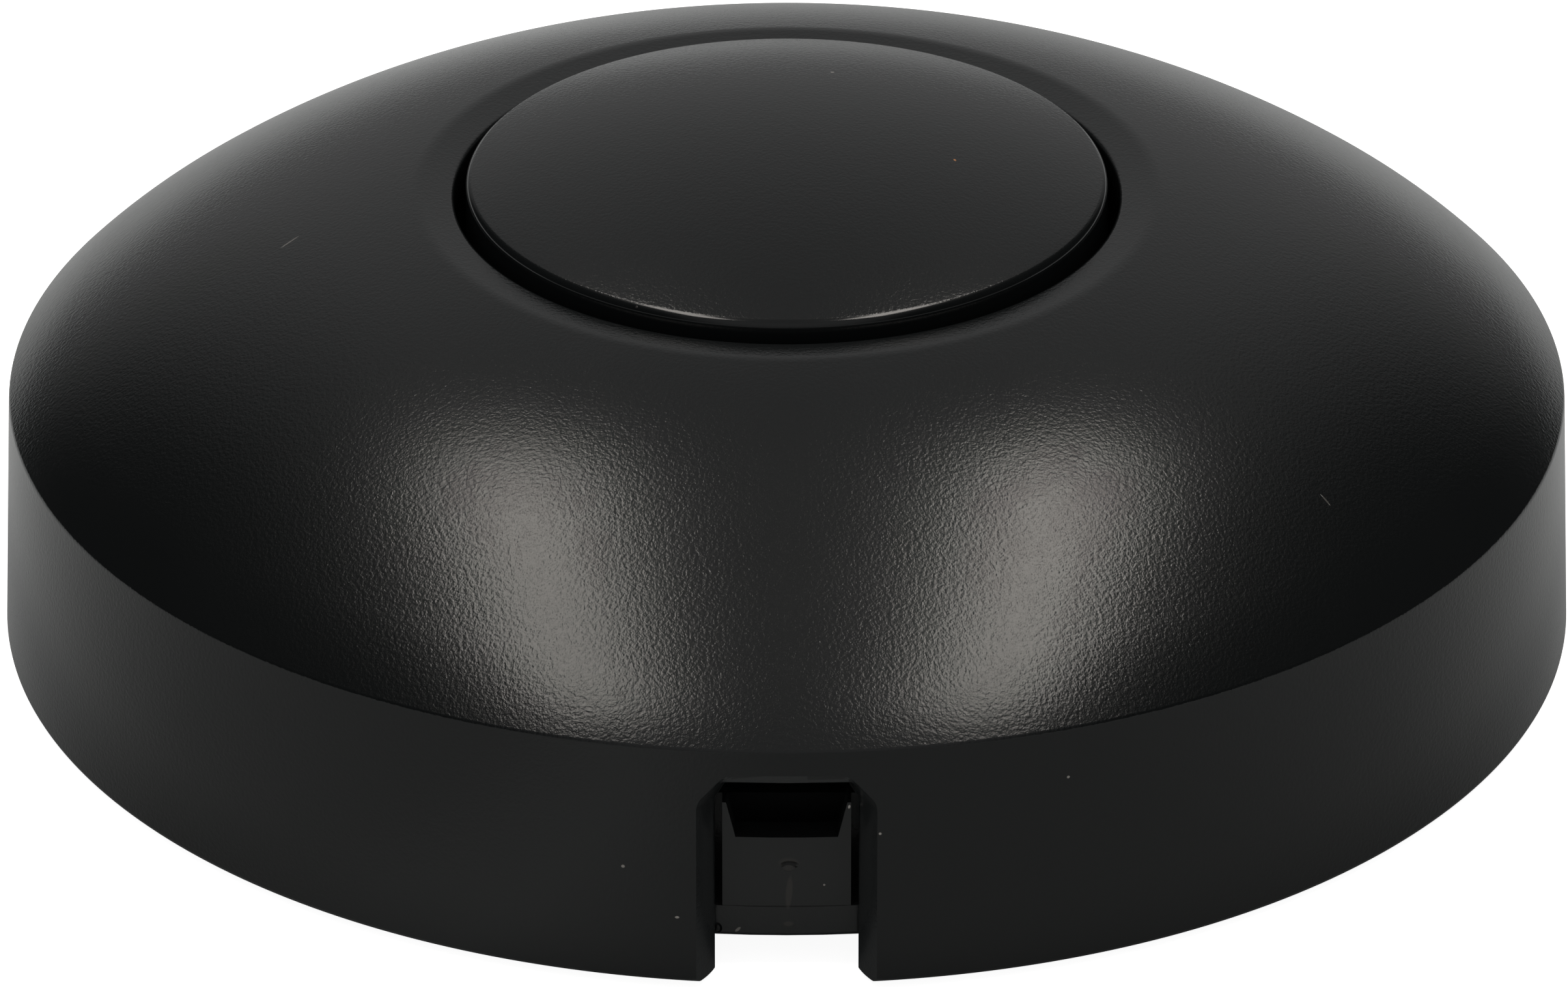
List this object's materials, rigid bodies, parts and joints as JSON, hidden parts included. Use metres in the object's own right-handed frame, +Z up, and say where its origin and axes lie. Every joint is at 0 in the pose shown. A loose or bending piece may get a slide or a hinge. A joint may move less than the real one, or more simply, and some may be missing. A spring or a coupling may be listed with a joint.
{
  "type": "foot dimmer",
  "caption": "Round foot-operated lamp dimmer for the floor: domed cover with a large sprung push button, cable entries at front and back, rubber feet.",
  "frame": {"origin": "on the floor under the middle of the button", "axes": "+Z up along the button's travel; -Y towards the front cable entry, +Y towards the back one"},
  "size_m": [0.1, 0.0994, 0.0344],
  "materials": {
    "cover_black": "fine spark-eroded grain",
    "button_black": "fine spark-eroded grain, rim edge polished",
    "base_black": "fine grain",
    "clamp_black": "plain moulded",
    "spring_steel": "drawn wire",
    "foot_rubber": "matt",
    "screw_steel": "zinc plated",
    "terminal_steel": "nickel plated",
    "board_laminate": "satin lacquer",
    "switch_body": "plain moulded",
    "plunger_red": "smooth moulded",
    "terminal_green": "plain moulded",
    "ferrite": "sintered",
    "copper_wire": "enamelled copper wire",
    "sink_aluminium": "bare sheet",
    "moulded_epoxy": "moulded",
    "film_cap_yellow": "moulded box",
    "can_sleeve": "shrink sleeve",
    "fuse_glass": "clear",
    "tinned_metal": "tinned",
    "resistor_beige": "lacquered",
    "diode_black": "moulded"
  },
  "bodies": {
    "housing": {"top_cover": "cover_black", "base_plate": "base_black", "front_cord_clamp": "clamp_black", "rear_cord_clamp": "clamp_black", "return_spring": "spring_steel", "rubber_feet": "foot_rubber", "housing_screws": "screw_steel", "board_screws": "screw_steel", "clamp_screws": "screw_steel", "heat_sink_screw": "screw_steel", "terminal_screws": "terminal_steel", "circuit_board": "board_laminate", "push_switch": "switch_body", "supply_terminal": "terminal_green", "lamp_terminal": "terminal_green", "choke_core": "ferrite", "choke_winding": "copper_wire", "heat_sink": "sink_aluminium", "triac": "moulded_epoxy", "control_chip": "moulded_epoxy", "bridge_rectifier": "moulded_epoxy", "film_capacitor": "film_cap_yellow", "can_capacitor": "can_sleeve", "fuse_tube": "fuse_glass", "fuse_caps": "tinned_metal", "fuse_clips": "tinned_metal", "resistors": "resistor_beige", "diodes": "diode_black"},
    "button": {"push_button": "button_black"},
    "plunger": {"switch_plunger": "plunger_red"}
  },
  "joints": [
    {"name": "button_press", "type": "slide", "parent": "housing", "child": "button", "axis": [0, 0, -1], "range_m": [0, 0.0025], "stiffness_N_per_m": 1200, "springref_m": -0.002, "deforming": ["return_spring"]},
    {"name": "plunger_press", "type": "slide", "parent": "housing", "child": "plunger", "axis": [0, 0, -1], "range_m": [0, 0.0025]}
  ],
  "couplings": [
    {"joint": "plunger_press", "follows": "button_press", "ratio": 1}
  ]
}
